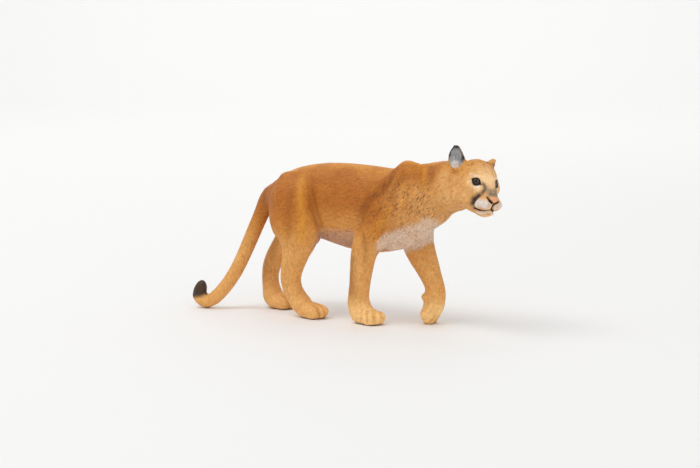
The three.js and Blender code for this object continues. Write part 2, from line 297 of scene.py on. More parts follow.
# The swing of the left legs at the shoulder and thigh, and lower down, in millimetres.
FORE, HIND = 9.0, -12.0
FORE_LOW, HIND_LOW = 15.0, -20.0
BLADE_EDGE = [(30.7, -4.4, 57.2), (33.9, -6.8, 55.1), (34.8, -8.4, 52.4), (34.5, -8.9, 49.5)]
MIDDLE_RIDGE = [(29.4, -7.7, 52.1), (27.6, -9.2, 48.7), (27.1, -9.9, 44.9), (27.4, -9.4, 41.0)]
SHOULDER_GROOVE = [
    (26.9, -8.2, 53.7), (25.3, -9.7, 50.6), (24.0, -10.7, 47.2), (24.2, -11.1, 43.9), (25.2, -10.9, 41.0),
]
ARM_FRONT = [(22.8, -11.5, 43.3), (21.6, -11.8, 39.9), (19.2, -12.1, 36.4), (16.5, -12.3, 33.3)]
ARM_GROOVE = [(12.6, -12.2, 33.1), (13.0, -12.2, 30.1), (13.2, -11.5, 26.4), (12.6, -10.9, 23.6)]
BEHIND_SHOULDER = [
    (22.5, -8.2, 54.4), (21.3, -9.9, 50.6), (18.2, -10.4, 47.9), (14.1, -10.2, 44.9),
    (11.6, -10.5, 41.2), (10.7, -10.7, 37.7), (9.4, -10.8, 33.9),
]
THIGH_FRONT = [
    (-11.5, -8.7, 46.7), (-10.5, -9.3, 43.3), (-9.5, -9.4, 39.6), (-8.4, -8.8, 35.9), (-8.0, -7.6, 32.5),
]
THIGH_CREST = [
    (-16.7, -5.7, 52.0), (-14.5, -10.0, 45.6), (-13.3, -11.8, 39.6), (-12.4, -12.2, 34.7),
    (-13.5, -12.4, 28.4),
]
THIGH_BACK = [
    (-18.1, -10.8, 46.5), (-18.2, -12.5, 41.7), (-18.2, -13.2, 36.9), (-17.7, -13.2, 32.0),
    (-19.4, -12.6, 26.7),
]
BODY_SHAPE = [
    trunk("front edge of the shoulder blade", 2.0, 1.0, BLADE_EDGE),
    trunk("dip before it", 1.7, -0.7,
          [(36.2, -2.5, 57.0), (36.8, -6.0, 56.0), (37.4, -8.4, 53.5), (37.6, -9.0, 51.0)]),
    trunk("top of the blade", 2.4, 0.75, [(28.6, -4.2, 57.4), (32.6, -4.8, 57.0), (34.6, -5.0, 56.3)]),
    Stroke("top of the tail's root", [(-31.5, 0.0, 48.5), (-34.5, 0.0, 46.0), (-36.5, 0.0, 42.5)], 2.8, -0.7),
    trunk("corner of the rump", 1.8, -0.45, [(-22.3, -6.0, 52.4), (-24.0, -7.6, 51.2)]),
    trunk("fold over the tail's root", 1.6, 0.35, [(-28.0, -5.5, 49.2), (-30.5, -4.5, 48.0)]),
    trunk("web of the flank", 2.0, 1.0, [(-10.5, -8.0, 27.8), (-9.0, -7.5, 29.8)]),
    trunk("hollow behind the shoulder", 2.2, -1.2, BEHIND_SHOULDER, FORE),
    trunk("back edge of the shoulder", 1.5, 0.6,
          [(25.2, -8.1, 54.8), (23.8, -9.5, 51.9), (22.2, -10.6, 48.6), (21.3, -11.4, 45.2),
           (20.2, -11.9, 41.5)], FORE),
    trunk("groove in the shoulder", 1.4, -0.55, SHOULDER_GROOVE, FORE),
    trunk("middle ridge of the shoulder", 1.7, 0.4, MIDDLE_RIDGE, FORE),
    trunk("upper arm", 2.8, 0.6, [(18.3, -11.6, 43.6), (16.9, -12.1, 40.1), (16.0, -12.3, 36.5)], FORE),
    trunk("front of the upper arm", 1.5, 0.45, ARM_FRONT, FORE),
    trunk("groove down the arm", 1.3, -0.5, ARM_GROOVE, FORE_LOW),
    trunk("fold before the thigh", 1.7, -1.0, THIGH_FRONT, HIND),
    trunk("crest of the thigh", 3.0, 0.7, THIGH_CREST, HIND),
    trunk("hollow of the thigh", 2.0, -0.55, THIGH_BACK, HIND),
    trunk("back of the thigh", 1.8, 0.4,
          [(-24.3, -9.7, 48.1), (-23.5, -11.7, 44.1), (-22.2, -12.8, 39.2)], HIND),
    Stroke("dip behind the withers", [(21.3, -6.5, 55.6), (21.6, 0.0, 56.8), (21.3, 6.5, 55.6)], 2.6, -0.5),
    Stroke("throat", [(38.5, -2.6, 39.6), (42.7, -3.6, 41.2), (45.5, -5.0, 42.4)], 2.8, -1.2),
    Stroke("back of the forearm",
           [(8.4, -9.5, 26.0), (6.4, -9.6, 18.6), (5.8, -9.0, 13.9), (5.5, -8.8, 8.5),
            (6.0, -8.5, 4.5)], 2.6, -0.55),
    Stroke("dewclaw", [(28.6, 3.2, 9.8)], 1.3, 1.35, flat=0.35),
    Stroke("notch over the dewclaw", [(30.0, 2.9, 12.4)], 1.0, -0.8),
    Stroke("notch under the dewclaw", [(29.8, 2.6, 7.6)], 1.0, -0.9),
    trunk("tendon of the hock", 0.8, -0.5,
          [(-20.6, -8.9, 22.5), (-20.6, -8.6, 18.0), (-19.8, -8.3, 14.5)], HIND_LOW),
]


def toe_path(y: float) -> Path:
    """Gives the line along the top of a toe.

    Args:
        y: How far left of the paw's middle the toe is, in millimetres.

    Returns:
        The path, in the paw's frame.
    """
    aside = abs(y)
    top = (5.6 - 0.3 * aside, y * 1.05, 3.6)
    return [(3.4 - 0.35 * aside, y, 4.6), top, (6.9 - 0.45 * aside, y * 1.1, 2.0)]


def gap_path(y: float) -> Path:
    """Gives the line down a gap between toes, y millimetres left of its paw's middle."""
    back, front = 0.3 * abs(y), 0.5 * abs(y)
    return [(2.8, y, 5.2), (4.6, y, 4.4), (6.2 - back, y, 3.0), (6.9 - front, y, 1.4), (6.4 - front, y, 0.4)]


OTHER_PAWS = {paw: place for paw, place in PAWS.items() if paw != "front right"}
TOES = [
    Stroke(f"toe, {paw}", toe_path(y), 0.95, 0.5, place)
    for paw, place in OTHER_PAWS.items()
    for y in (-2.85, -0.95, 0.95, 2.85)
] + [
    Stroke("outer toe", [(11.2, -9.4, 4.8), (11.6, -10.4, 2.6)], 1.2, 0.45, SURFACE),
    Stroke("second toe", [(13.0, -8.6, 5.0), (14.4, -10.1, 2.8)], 1.2, 0.5, SURFACE),
    Stroke("third toe", [(14.6, -6.4, 5.2), (16.4, -8.0, 2.6)], 1.2, 0.5, SURFACE),
    Stroke("inner toe", [(14.8, -4.0, 5.2), (16.9, -5.0, 2.6)], 1.2, 0.45, SURFACE),
]
TOE_GAPS = [
    Stroke(f"gap of the toes, {paw}", gap_path(y), 0.5, -0.62, place)
    for paw, place in OTHER_PAWS.items()
    for y in (-1.9, 0.0, 1.9)
] + [
    Stroke("gap behind the outer toe",
           [(10.6, -9.0, 5.0), (10.4, -9.9, 4.0), (10.2, -10.2, 2.6),
            (9.9, -10.0, 1.0)], 0.5, -0.45, SURFACE),
    Stroke("gap before the outer toe",
           [(11.9, -8.4, 5.4), (12.6, -9.6, 4.4), (13.1, -10.5, 2.9),
            (12.9, -10.5, 0.9)], 0.5, -0.85, SURFACE),
    Stroke("gap of the middle toes",
           [(13.5, -6.6, 5.4), (14.6, -8.2, 4.4), (15.5, -9.3, 2.9), (15.6, -9.2, 1.2)], 0.5, -0.85, SURFACE),
    Stroke("gap before the inner toe",
           [(14.0, -4.6, 5.6), (16.0, -5.8, 4.2), (17.0, -6.6, 2.6), (16.8, -6.6, 1.0)], 0.5, -0.75, SURFACE),
]
MOUTH = [
    (0.7, -3.0, -8.6), (2.4, -2.7, -8.75), (4.0, -2.5, -8.6), (5.2, -2.1, -8.45), (6.1, -0.9, -8.1),
    (6.35, 0.0, -7.6),
]
NOSTRIL = [(6.1, -1.95, -3.8), (7.2, -1.65, -4.6), (7.6, -0.8, -5.2), (7.5, 0.0, -5.8)]
PHILTRUM = [(7.5, 0.0, -5.8), (7.0, 0.0, -6.7), (6.35, 0.0, -7.6)]
TEAR_LINE = [(1.7, -2.7, 0.3), (3.0, -2.3, -0.2), (3.8, -2.1, -1.0), (3.9, -2.3, -2.2), (3.6, -2.8, -3.4)]
BEHIND_PAD = [(3.6, -2.8, -3.4), (2.2, -3.4, -4.5), (0.8, -3.6, -5.8), (0.3, -3.5, -7.2), (0.5, -3.2, -8.3)]
FACE_SHAPE = [
    face("brow", 1.1, 0.4, [(2.0, -2.0, 2.0), (1.0, -3.4, 2.3), (-0.8, -4.9, 2.0)]),
    face("below the eye", 1.5, 0.3, [(1.6, -3.6, -2.0), (-0.6, -5.0, -1.8)]),
    face("hollow beside the nose", 0.8, -0.3, TEAR_LINE[1:]),
    face("back of the pad", 1.7, 1.0, [(2.6, -3.3, -7.0), (4.4, -3.6, -6.8)]),
    face("whisker pad", 1.8, 0.35, [(4.2, -3.5, -6.0), (6.2, -3.2, -6.2)], flat=0.3),
    face("fold behind the pad", 0.7, -0.35, BEHIND_PAD),
    face("lower lip", 0.9, 0.35, [(2.4, -2.7, -9.5), (4.4, -2.3, -9.5)]),
    Stroke("front of the chin", [(6.4, 0.0, -9.2), (5.8, 0.0, -10.2)], 1.7, -0.9, HEAD),
    face("mouth", 0.5, -0.4, MOUTH, crisp=True),
    face("nostril", 0.42, -0.35, NOSTRIL, crisp=True),
    Stroke("philtrum", PHILTRUM, 0.42, -0.35, HEAD, crisp=True),
    face("hair before the ear", 1.5, 0.9, [(-5.8, -4.9, 5.7), (-5.4, -3.8, 6.2)]),
    Stroke("dip of the crown", [(-6.2, -0.6, 6.6), (-4.4, 0.9, 6.2)], 1.8, -0.8, HEAD),
    Stroke("under the chin", [(0.5, 0.0, -10.4), (3.5, 0.0, -10.8)], 2.4, 0.35, HEAD),
    face("edge of the lower lip", 0.8, 0.25, [(3.0, -3.0, -9.6), (5.2, -1.9, -9.3), (6.2, 0.0, -8.9)]),
    Stroke("furrow of the forehead", [(-0.5, 0.0, 4.6), (2.2, 0.0, 2.6), (3.8, 0.0, 0.6)], 1.0, -0.25, HEAD),
]


@dataclass
class Clay:
    """The skin's surface while it is shaped and painted, in millimetres."""

    obj: bpy.types.Object
    points: np.ndarray = field(init=False)
    normals: np.ndarray = field(init=False)

    def __post_init__(self) -> None:
        """Reads the surface for the first time."""
        self.read()

    def read(self) -> None:
        """Reads the vertices and their normals from the mesh."""
        mesh = self.obj.data
        flat = np.empty(len(mesh.vertices) * 3)
        mesh.vertices.foreach_get("co", flat)
        self.points = flat.reshape(-1, 3) / MM
        turned = np.empty(len(mesh.vertices) * 3)
        mesh.vertex_normals.foreach_get("vector", turned)
        self.normals = turned.reshape(-1, 3)

    def write(self) -> None:
        """Writes the vertices back and refreshes the normals."""
        mesh = self.obj.data
        mesh.vertices.foreach_set("co", (self.points * MM).ravel())
        mesh.update()
        self.read()

    def press(self, strokes: list[Stroke]) -> None:
        """Works strokes into the surface along its own normals.

        Args:
            strokes: The strokes, in the order in which they are made.
        """
        for one in sided(strokes):
            log.debug("modelled %s", one.name)
            self.points += self.normals * (one.strength(self.points) * one.lift)[:, None]
        self.write()

    def relax(self, weights: np.ndarray, turns: int) -> None:
        """Smooths the surface more where the weights are high.

        Args:
            weights: One weight a vertex, from 0 to 1.
            turns: How many times the smoothing is repeated.
        """
        group = self.obj.vertex_groups.new(name="relax")
        for level in range(1, 11):
            chosen = np.flatnonzero(np.round(weights * 10).astype(int) == level)
            if len(chosen):
                group.add(chosen.tolist(), level / 10, "REPLACE")
        finish_modifier(self.obj, "SMOOTH", factor=0.5, iterations=turns, vertex_group="relax")
        self.obj.vertex_groups.remove(self.obj.vertex_groups["relax"])
        self.read()

    def refine(self, chosen: np.ndarray) -> None:
        """Divides the faces whose corners are all chosen.

        Args:
            chosen: One true or false a vertex.
        """
        select_only(self.obj)
        mesh = self.obj.data
        corner = np.empty(len(mesh.loops), int)
        mesh.loops.foreach_get("vertex_index", corner)
        start = np.empty(len(mesh.polygons), int)
        mesh.polygons.foreach_get("loop_start", start)
        wanted = np.minimum.reduceat(chosen[corner].astype(int), start).astype(bool)
        bpy.ops.object.mode_set(mode="EDIT")
        bpy.ops.mesh.select_mode(type="FACE")
        bpy.ops.mesh.select_all(action="DESELECT")
        bpy.ops.object.mode_set(mode="OBJECT")
        mesh.polygons.foreach_set("select", wanted)
        bpy.ops.object.mode_set(mode="EDIT")
        bpy.ops.mesh.subdivide(number_cuts=1, smoothness=0.0)
        bpy.ops.object.mode_set(mode="OBJECT")
        self.read()


@dataclass
class EyeSocket:
    """The almond opening of one eye in the skin, round a painted ball that shows through it.

    The lids are thickest at rim_at outside their edge. Inside it the skin drops over the opening's width
    and lies sunk into the ball, and it is fitted to the ball up to the last distance. All are millimetres,
    and slant and gaze are degrees.
    """

    side: int
    ball: float = 1.75
    half_length: float = 1.75
    half_height: float = 1.15
    slant: float = 20.0
    gaze: float = 38.0
    lid: float = 0.16
    lid_rim: float = 0.10
    rim_at: float = 0.25
    opening: float = 0.22
    sunk: float = 0.4
    fitted: float = 1.5
    place: Place = HEAD
    middle: tuple[float, float, float] = (-0.85, 2.95, 0.15)

    def centre(self) -> np.ndarray:
        """Gives the ball's centre in the row frame, in millimetres."""
        x, y, z = self.middle
        return self.place.out([(x, y * self.side, z)])[0]

    def axes(self) -> np.ndarray:
        """Finds the eye's own axes.

        Returns:
            Three rows: out of the eye, towards the nose along the lids, and up.
        """
        gaze = math.radians(self.gaze)
        out = np.array([math.cos(gaze), math.sin(gaze) * self.side, 0.06])
        out /= np.linalg.norm(out)
        inward = np.cross(out, [0, 0, 1]) * self.side
        inward /= np.linalg.norm(inward)
        up = np.cross(inward, out) * self.side
        tilt = math.radians(self.slant)
        along = inward * math.cos(tilt) - up * math.sin(tilt)
        over = up * math.cos(tilt) + inward * math.sin(tilt)
        return np.array([out, along, over]) @ self.place.axes

    def almond(self, points: np.ndarray) -> tuple[np.ndarray, np.ndarray]:
        """Measures how far points lie outside the lids' edge, seen straight into the eye.

        Args:
            points: Points of the row frame in millimetres.

        Returns:
            The distance in millimetres, negative inside the opening, and true for points before the ball.
        """
        local = (points - self.centre()) @ self.axes().T
        along = local[:, 1] / self.half_length
        height = self.half_height * np.clip(1 - np.abs(along) ** 1.9, 0, None)
        beyond = np.hypot(np.maximum(np.abs(local[:, 1]) - self.half_length, 0), local[:, 2])
        outside = np.where(np.abs(along) < 1, np.abs(local[:, 2]) - height, beyond)
        return outside, (local[:, 0] > 0) & (np.linalg.norm(local, axis=1) < 2.6 * self.ball)

    def open(self, clay: Clay) -> None:
        """Fits the skin to the ball and opens the lids.

        Args:
            clay: The skin that is shaped.
        """
        outside, near = self.almond(clay.points)
        away = clay.points - self.centre()
        distance = np.linalg.norm(away, axis=1)
        ray = away / distance[:, None]
        lid = self.ball + self.lid + self.lid_rim * np.exp(-(((outside - self.rim_at) / self.rim_at) ** 2))
        drop = (self.ball - self.sunk - lid) * smooth_step(0.0, -self.opening, outside)
        target = np.where(outside > 0, lid, lid + drop)
        hold = near * smooth_step(self.fitted, self.rim_at, outside)
        clay.points += ray * ((target - distance) * hold)[:, None]
        clay.write()


class Paint(Enum):
    """The colours laid on the skin, in sRGB: the toy's paints, and painted light and shade."""

    TAN = "#CB8738"
    # painted light: the tops that face up and the crests of the ridges
    GOLD = "#DB962F"
    # reddish flank paint, laid deepest as painted shade on the sides, and patches on the crown
    RUST = "#B0671F"
    # painted shade in the hollows and between the toes
    DEEP_BROWN = "#804818"
    ORANGE = "#E2A65B"
    PAW = "#FDD28E"
    SAND = "#EBBB82"
    CREAM = "#FBD6A6"
    # pale belly paint with painted shade
    BELLY = "#BD9682"
    CHEST = "#E5CCBA"
    PINK_WHITE = "#E3DAD7"
    GREY_BROWN = "#4A3A30"
    GREY = "#766B60"
    BLACK = "#0E0B0A"
    SALMON = "#F0AC82"
    EAR_BLUE = "#939CAA"
    EAR_DARK = "#2A2320"
    TAIL_TIP = "#3C2F28"
    # painted shade under the paws, where they meet the floor
    SOLE = "#4B3020"

    @property
    def light(self) -> np.ndarray:
        """The colour in linear light."""
        return linear(self.value)


@dataclass
class Coat:
    """The layers of paint on the skin, mixed at each vertex."""

    clay: Clay
    colour: np.ndarray = field(init=False)

    def __post_init__(self) -> None:
        """Covers the whole skin with the base tan."""
        self.colour = np.tile(Paint.TAN.light, (len(self.clay.points), 1))

    def lay(self, paint: Paint, cover: np.ndarray) -> None:
        """Lays a colour over the others.

        Args:
            paint: The colour.
            cover: How much of it covers each vertex, from 0 to 1.
        """
        share = np.clip(cover, 0, 1)[:, None]
        self.colour = self.colour * (1 - share) + paint.light * share

    def brush(self, paint: Paint, strokes: list[Stroke]) -> None:
        """Lays a colour along strokes, whose lift is how well they cover.

        Args:
            paint: The colour.
            strokes: The strokes.
        """
        for one in sided(strokes):
            self.lay(paint, one.strength(self.clay.points) * one.lift)

    def save(self, name: str) -> None:
        """Keeps the colour on the mesh.

        Args:
            name: The attribute's name.
        """
        mesh = self.clay.obj.data
        layer = mesh.color_attributes.new(name=name, type="FLOAT_COLOR", domain="POINT")
        with_alpha = np.concatenate([self.colour, np.ones((len(self.colour), 1))], axis=1)
        layer.data.foreach_set("color", with_alpha.ravel())


def mottle(points: np.ndarray, size: float, seed: float = 0.0) -> np.ndarray:
    """Gives a soft patchy noise, about -1 to 1.

    Args:
        points: Points in millimetres.
        size: The patches' size in millimetres.
        seed: Moves the pattern.

    Returns:
        One value a point.
    """
    return np.array([noise.noise(Vector(p / size) + Vector((seed, seed * 2, 0))) for p in points])


def add_node(tree: Tree, kind: str, links: dict | None = None, **settings: object) -> bpy.types.Node:
    """Adds a shader node with its settings and what feeds it.

    Args:
        tree: The material's node tree.
        kind: The node's type name.
        links: Input name or number to the output socket that feeds it, or to a constant.
        settings: The node's own properties.

    Returns:
        The new node.
    """
    node = tree.nodes.new(kind)
    for name, value in settings.items():
        setattr(node, name, value)
    for socket, source in (links or {}).items():
        if isinstance(source, Socket):
            tree.links.new(source, node.inputs[socket])
        else:
            node.inputs[socket].default_value = source
    return node


@dataclass(frozen=True)
class PaintedVinyl:
    """Soft PVC, moulded and hand painted: satin matte, with brown wash run into the grooves of the fur.

    The bands are where on the relief or the patches a tone starts and is whole. The lies are in degrees.
    """

    name: str = "painted PVC"
    roughness: float = 0.5
    ior: float = 1.5
    sheen: float = 0.28
    wash: str = "#B3967F"
    # the colour of the painted highlight on the tops of the fur's locks
    lock_highlight: str = "#FFF0CC"
    groove_across_mm: float = 0.46
    groove_along_mm: float = 2.1
    groove_depth_mm: float = 0.22
    speckle_mm: float = 0.9
    cloud_mm: float = 4.5
    wash_band: tuple[float, float] = (0.46, 0.3)
    # where on the relief the locks' painted highlight starts and is whole, and how bright it is
    lock_highlight_band: tuple[float, float] = (0.54, 0.72)
    lock_highlight_gain: float = 1.45
    patch_band: tuple[float, float] = (0.3, 0.7)
    speckle_tones: tuple[tuple, tuple] = ((0.90, 0.80, 0.68, 1), (1.09, 1.12, 1.14, 1))
    cloud_tones: tuple[tuple, tuple] = ((0.96, 0.91, 0.84, 1), (1.04, 1.07, 1.08, 1))
    back_lie: float = 12.0
    leg_lie: float = 78.0
    neck_lie: float = 48.0
    chest_lie: float = -50.0

    def build(self) -> bpy.types.Material:
        """Makes the material.

        Returns:
            The material, which reads the skin's paint, fur and grain attributes.
        """
        material = bpy.data.materials.new(self.name)
        material.use_nodes = True
        tree = material.node_tree
        shader = tree.nodes["Principled BSDF"]
        shader.inputs["Roughness"].default_value = self.roughness
        shader.inputs["IOR"].default_value = self.ior
        shader.inputs["Specular IOR Level"].default_value = self.sheen
        place = add_node(tree, "ShaderNodeTexCoord").outputs["Object"]
        paint = add_node(tree, "ShaderNodeAttribute", attribute_name="paint").outputs["Color"]
        fur = add_node(tree, "ShaderNodeAttribute", attribute_name="fur").outputs["Color"]
        amounts = add_node(tree, "ShaderNodeSeparateColor", {"Color": fur})
        relief = self.relief(tree, place)
        run_in = self.ramp(tree, relief, *self.wash_band)
        share = self.maths(tree, "MULTIPLY", run_in, amounts.outputs["Red"])
        speckle = self.noise(tree, place, (self.speckle_mm,) * 3, 0.0, 3.0)
        cloud = self.noise(tree, place, (self.cloud_mm,) * 3, 0.0, 2.0)
        fine = self.mix(tree, self.ramp(tree, speckle, *self.patch_band), *self.speckle_tones)
        broad = self.mix(tree, self.ramp(tree, cloud, *self.patch_band), *self.cloud_tones)
        tone = self.mix(tree, 1.0, fine, broad, "MULTIPLY")
        toned = self.mix(tree, 1.0, paint, tone, "MULTIPLY")
        washed = self.mix(tree, 1.0, toned, (*linear(self.wash), 1.0), "MULTIPLY")
        colour = self.mix(tree, share, toned, washed)
        # Painted highlight: the raised locks are lightened where the wash is laid.
        lit = self.maths(tree, "MULTIPLY", self.ramp(tree, relief, *self.lock_highlight_band), amounts.outputs["Red"])
        lock_highlight = self.mix(tree, 1.0, colour, (*linear(self.lock_highlight) * self.lock_highlight_gain, 1.0), "MULTIPLY")
        tree.links.new(self.mix(tree, lit, colour, lock_highlight), shader.inputs["Base Color"])
        height = self.maths(tree, "MULTIPLY", relief, amounts.outputs["Green"])
        depth = self.groove_depth_mm * MM * 3
        bump = add_node(tree, "ShaderNodeBump", {"Height": height, "Strength": 1.0, "Distance": depth})
        tree.links.new(bump.outputs["Normal"], shader.inputs["Normal"])
        return material

    def relief(self, tree: Tree, place: Socket) -> Socket:
        """Draws the short grooves of sculpted fur, which lie one way on the trunk and another on the legs.

        Args:
            tree: The material's node tree.
            place: The position on the moulding, in metres.

        Returns:
            The relief's height, from 0 in a groove to 1 on a lock.
        """
        grain = add_node(tree, "ShaderNodeAttribute", attribute_name="grain").outputs["Color"]
        shares = add_node(tree, "ShaderNodeSeparateColor", {"Color": grain})
        size = (self.groove_along_mm, self.groove_across_mm, self.groove_across_mm)
        lies = (self.back_lie, self.leg_lie, self.neck_lie, self.chest_lie)
        back, down, neck, chest = (self.noise(tree, place, size, lie, 2.0) for lie in lies)
        lie = self.mix(tree, shares.outputs["Red"], back, down)
        lie = self.mix(tree, shares.outputs["Green"], lie, neck)
        return self.mix(tree, shares.outputs["Blue"], lie, chest)

    @staticmethod
    def noise(tree: Tree, place: Socket, size: tuple, turn: float, detail: float) -> Socket:
        """Makes noise, drawn out where its size is greater along one axis.

        Args:
            tree: The material's node tree.
            place: The position on the moulding, in metres.
            size: The patches' size along three axes, in millimetres.
            turn: Degrees by which the axes are turned about the one that points left.
            detail: How many times finer noise is added.

        Returns:
            The noise, from 0 to 1.
        """
        rotation = (0, math.radians(turn), 0)
        turned = add_node(tree, "ShaderNodeMapping", {"Vector": place, "Rotation": rotation})
        scale = tuple(1 / (MM * one) for one in size)
        scaled = add_node(tree, "ShaderNodeMapping", {"Vector": turned.outputs["Vector"], "Scale": scale})
        look = {"Vector": scaled.outputs["Vector"], "Scale": 1.0, "Detail": detail, "Distortion": 0.5}
        return add_node(tree, "ShaderNodeTexNoise", look).outputs["Fac"]

    @staticmethod
    def ramp(tree: Tree, value: Socket, low: float, high: float) -> Socket:
        """Carries a value from low and high to 0 and 1, held outside them."""
        links = {"Value": value, "From Min": low, "From Max": high}
        return add_node(tree, "ShaderNodeMapRange", links).outputs["Result"]

    @staticmethod
    def maths(tree: Tree, what: str, one: Socket, other: Socket) -> Socket:
        """Joins two values."""
        return add_node(tree, "ShaderNodeMath", {0: one, 1: other}, operation=what).outputs[0]

    @staticmethod
    def mix(tree: Tree, share: object, one: object, other: object, how: str = "MIX") -> Socket:
        """Lays one colour over another by a share."""
        links = {0: share, 6: one, 7: other}
        return add_node(tree, "ShaderNodeMix", links, data_type="RGBA", blend_type=how).outputs[2]


@dataclass(frozen=True)
class GlossPaint:
    """Gloss enamel on the eyes: nearly black, with a dark brown iris under a wet-looking coat."""

    name: str = "gloss eye paint"
    pupil: str = "#0B0807"
    iris: str = "#4A3218"
    roughness: float = 0.2
    sheen: float = 0.3
    coat: float = 0.35
    coat_roughness: float = 0.05

    def build(self) -> bpy.types.Material:
        """Makes the material.

        Returns:
            The material, which reads the ball's own iris attribute.
        """
        material = bpy.data.materials.new(self.name)
        material.use_nodes = True
        tree = material.node_tree
        shader = tree.nodes["Principled BSDF"]
        shader.inputs["Roughness"].default_value = self.roughness
        shader.inputs["Specular IOR Level"].default_value = self.sheen
        shader.inputs["Coat Weight"].default_value = self.coat
        shader.inputs["Coat Roughness"].default_value = self.coat_roughness
        ring = add_node(tree, "ShaderNodeAttribute", attribute_name="iris").outputs["Fac"]
        tones = {0: ring, 6: (*linear(self.pupil), 1), 7: (*linear(self.iris), 1)}
        mixed = add_node(tree, "ShaderNodeMix", tones, data_type="RGBA")
        tree.links.new(mixed.outputs[2], shader.inputs["Base Color"])
        return material


@dataclass
class Eye:
    """One painted eyeball behind the lids."""

    socket: EyeSocket
    iris: float = 0.95
    pupil: float = 0.5
    edge: float = 0.15
    outer_edge: float = 0.1
    iris_middle: tuple[float, float] = (-0.15, 0.1)

    def build(self, finish: bpy.types.Material) -> bpy.types.Object:
        """Makes the ball.

        Args:
            finish: The gloss paint.

        Returns:
            The finished piece.
        """
        bpy.ops.object.select_all(action="DESELECT")
        radius = self.socket.ball * MM
        bpy.ops.mesh.primitive_uv_sphere_add(segments=40, ring_count=20, radius=radius)
        ball = bpy.context.object
        side = "left" if self.socket.side > 0 else "right"
        ball.name = f"painted_eye_{side}"
        turn = Matrix(self.socket.axes().tolist()).transposed().to_4x4()
        ball.data.transform(Matrix.Translation(Vector(self.socket.centre() * MM)) @ turn)
        ball.data.materials.append(finish)
        bpy.ops.object.shade_smooth()
        points = np.array([v.co for v in ball.data.vertices]) / MM - self.socket.centre()
        local = points @ self.socket.axes().T
        away = np.linalg.norm(local[:, 1:] - self.iris_middle, axis=1)
        ring = smooth_step(self.pupil, self.pupil + self.edge, away)
        ring *= smooth_step(self.iris + self.outer_edge, self.iris, away)
        layer = ball.data.attributes.new("iris", "FLOAT", "POINT")
        layer.data.foreach_set("value", ring * (local[:, 0] > 0))
        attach(ball, "root")
        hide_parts(f"eye_{side}")
        return ball


# Painted shade in the hollows and grooves of the trunk and legs, and on the inside of the far shank.
SHADE_STROKES = [
    trunk("behind the shoulder", 2.2, 0.6, BEHIND_SHOULDER, FORE),
    trunk("before the thigh", 1.6, 0.55, THIGH_FRONT, HIND),
    trunk("hollow of the thigh", 2.0, 0.3, THIGH_BACK, HIND),
    trunk("before the shoulder blade", 2.0, 0.3,
          [(35.0, -4.5, 57.2), (36.6, -7.9, 54.1), (37.0, -8.8, 51.5)]),
    trunk("groove of the shoulder", 1.4, 0.25, SHOULDER_GROOVE[:4], FORE),
    trunk("root of the tail", 2.4, 0.45, [(-33.6, -3.0, 46.5), (-34.8, -3.8, 43.0), (-35.2, -3.1, 39.5)]),
    Stroke("back of the forearm",
           [(8.4, -9.8, 26.0), (6.8, -9.8, 18.6), (6.2, -9.4, 13.9), (6.0, -9.0, 8.5)], 3.6, 0.55),
    Stroke("inside of the far shank", [(-35.5, 3.0, 25.0), (-38.5, 3.0, 17.0), (-40.0, 3.0, 9.0)], 4.0, 0.3),
    trunk("groove down the arm", 1.3, 0.4, [*ARM_GROOVE[:3], (12.6, -10.9, 20.0)], FORE_LOW),
]
# Painted highlights along the crests of the shoulder blade, shoulder, upper arm and thigh.
HIGHLIGHT_STROKES = [
    trunk("side of the shoulder blade", 2.6, 0.45, [(27.6, -6.2, 56.0), (29.6, -6.6, 54.0)]),
    trunk("crest of the shoulder blade", 1.8, 0.95, [(29.7, -3.8, 56.8), *BLADE_EDGE[1:]]),
    trunk("crest of the thigh", 2.6, 0.75, THIGH_CREST, HIND),
    trunk("upper arm", 2.2, 0.5, ARM_FRONT, FORE),
    trunk("middle of the shoulder", 1.8, 0.4, MIDDLE_RIDGE, FORE),
]
FACE_CREAM = [
    face("cheek under the eye", 2.0, 0.65, [(2.4, -2.8, -2.0), (0.2, -4.3, -2.2)]),
    Stroke("chin", [(3.0, 0.0, -10.4), (5.6, 0.0, -9.8)], 2.2, 0.6, HEAD),
]
FACE_WHITE = [
    face("under the eye", 0.55, 0.95, [(-0.6, -5.0, -0.2), (0.6, -4.2, -1.2), (1.7, -3.3, -1.5)]),
    face("over the eye", 0.7, 0.6, [(-1.3, -4.8, 2.0), (0.2, -3.8, 2.5)]),
    face("lower lip", 0.95, 0.9, [(2.0, -2.8, -9.6), (4.4, -2.4, -9.5), (6.0, -1.1, -9.1), (6.3, 0.0, -9.0)]),
]
FACE_GREY = [
    face("bridge of the nose", 1.7, 0.7, [(4.0, -2.1, -1.5), (4.9, -1.4, -1.7), (5.8, 0.0, -2.1)]),
    face("tip of the bridge", 1.15, 0.9, [(5.9, -1.6, -2.8), (7.2, 0.0, -3.1)], flat=0.2),
]
FACE_SMUDGE = [
    face("tear line", 1.1, 0.85, TEAR_LINE),
    face("behind the pad", 1.5, 1.0, BEHIND_PAD, flat=0.25),
]
FACE_PAD = [
    face("whisker pad", 1.3, 1.0,
         [(2.5, -3.2, -7.2), (4.6, -4.0, -6.3), (6.6, -3.3, -6.1), (7.6, -1.7, -6.3)], flat=0.75),
    face("inner pad", 0.8, 0.9, [(7.3, -1.0, -6.5), (6.9, -1.4, -7.3)]),
    face("lip of the pad", 0.6, 0.8, [(3.0, -2.8, -8.1), (5.4, -2.6, -7.9)]),
]
FACE_NOSE = [face("nose", 0.8, 1.0, [(7.3, -1.1, -4.1), (8.2, 0.0, -4.0), (8.0, 0.0, -4.8)], crisp=True)]
FACE_LINES = [
    face("mouth", 0.3, 0.97, MOUTH, crisp=True),
    face("middle of the mouth", 0.42, 0.97, MOUTH[-2:], crisp=True),
    face("nostril", 0.3, 1.0, NOSTRIL, crisp=True),
    face("nostril's hole", 0.5, 1.0, NOSTRIL[1:3], crisp=True),
    Stroke("philtrum", PHILTRUM, 0.32, 1.0, HEAD, crisp=True),
]


